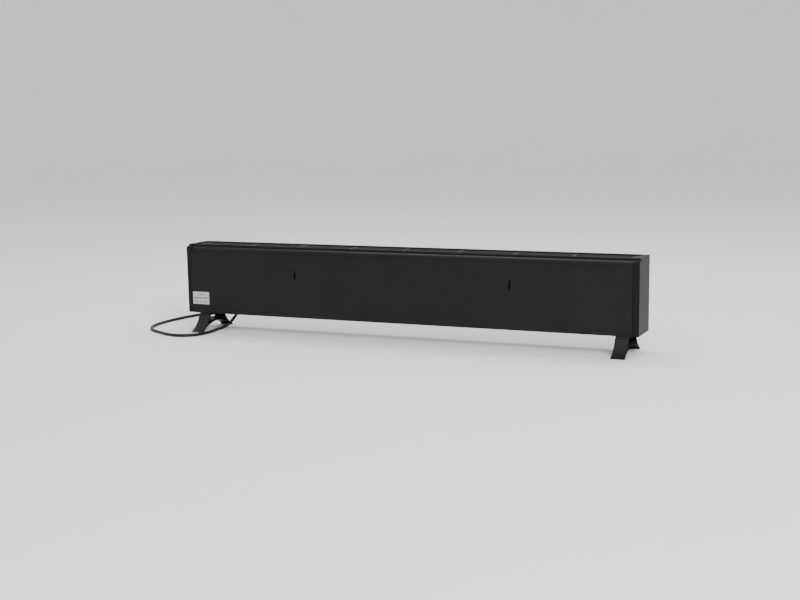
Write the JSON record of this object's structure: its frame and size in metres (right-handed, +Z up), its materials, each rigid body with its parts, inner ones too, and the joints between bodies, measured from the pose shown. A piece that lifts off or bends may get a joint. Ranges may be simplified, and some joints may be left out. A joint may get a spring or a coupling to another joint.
{
  "type": "baseboard heater",
  "caption": "Low black plug-in convector heater on two splayed feet, with a slotted top outlet, folded sheet casing, end caps and front controls.",
  "frame": {"origin": "on the floor, under the middle of the casing's length and of the feet's depth, measured without the cord", "axes": "+X along the heater towards the control end, +Y from the front to the rear face with the keyholes, +Z up"},
  "size_m": [1.1233, 0.4219, 0.191],
  "materials": {
    "black_powder_coat": "satin, fine grain",
    "black_casing_plastic": "fine texture",
    "screw_steel": "zinc plated",
    "plated_steel": "zinc plated",
    "aluminium": "as extruded",
    "ceramic": "matt",
    "black_control_plastic": "satin",
    "lamp_lens": "clear",
    "pale_plastic": "satin",
    "cord_jacket": "satin",
    "brass": "bright",
    "blue_insulation": "satin",
    "red_insulation": "satin",
    "label_film": "satin"
  },
  "bodies": {
    "casing": {"base_plate": "plated_steel", "bracket_screw_1": "screw_steel", "bracket_screw_2": "screw_steel", "cap_screw_1": "screw_steel", "cap_screw_2": "screw_steel", "cap_screw_3": "screw_steel", "cap_screw_4": "screw_steel", "control_bezel": "black_control_plastic", "cord_coil": "cord_jacket", "cord_gland": "cord_jacket", "cord_tie": "cord_jacket", "element_bracket_left": "plated_steel", "element_bracket_right": "plated_steel", "element_bush_left": "ceramic", "element_bush_right": "ceramic", "end_cap_left": "black_casing_plastic", "end_cap_right": "black_casing_plastic", "foot_left": "black_casing_plastic", "foot_right": "black_casing_plastic", "foot_screw_1": "screw_steel", "foot_screw_2": "screw_steel", "foot_screw_3": "screw_steel", "foot_screw_4": "screw_steel", "front_panel": "black_powder_coat", "heat_shield": "plated_steel", "heating_element": "aluminium", "partition": "plated_steel", "pilot_lamp": "lamp_lens", "plug_blade_1": "brass", "plug_blade_2": "brass", "plug_body": "cord_jacket", "plug_earth_pin": "brass", "power_cord": "cord_jacket", "power_cord_tail": "cord_jacket", "rating_label": "label_film", "rear_cover": "black_powder_coat", "switch_housing_1": "black_control_plastic", "switch_housing_2": "black_control_plastic", "terminal_block": "pale_plastic", "thermal_cutout": "plated_steel", "thermostat_body": "pale_plastic", "tip_switch_pin": "plated_steel", "tip_switch_yoke": "pale_plastic", "top_grille": "black_powder_coat", "wire_neutral": "blue_insulation", "wire_supply": "red_insulation", "wire_to_cutout": "red_insulation", "wire_to_element": "red_insulation", "wire_to_switch": "red_insulation", "wire_to_thermostat": "red_insulation"},
    "thermostat_knob": {"thermostat_knob": "black_control_plastic", "thermostat_shaft": "plated_steel"},
    "rocker_1": {"rocker_1": "black_control_plastic"},
    "rocker_2": {"rocker_2": "black_control_plastic"},
    "tip_lever": {"tip_switch_lever": "plated_steel"}
  },
  "joints": [
    {"name": "thermostat_turn", "type": "hinge", "parent": "casing", "child": "thermostat_knob", "pos_m": [0.428, -0.0504, 0.131], "axis": [0, 1, 0], "range_deg": [0, 270]},
    {"name": "rocker_1_tip", "type": "hinge", "parent": "casing", "child": "rocker_1", "pos_m": [0.42, -0.0506, 0.093], "axis": [-1, 0, 0], "range_deg": [0, 18]},
    {"name": "rocker_2_tip", "type": "hinge", "parent": "casing", "child": "rocker_2", "pos_m": [0.46, -0.0506, 0.093], "axis": [-1, 0, 0], "range_deg": [0, 18]},
    {"name": "tip_lever_swing", "type": "hinge", "parent": "casing", "child": "tip_lever", "pos_m": [0.396, 0, 0.074], "axis": [1, 0, 0], "range_deg": [-20, 20]}
  ]
}
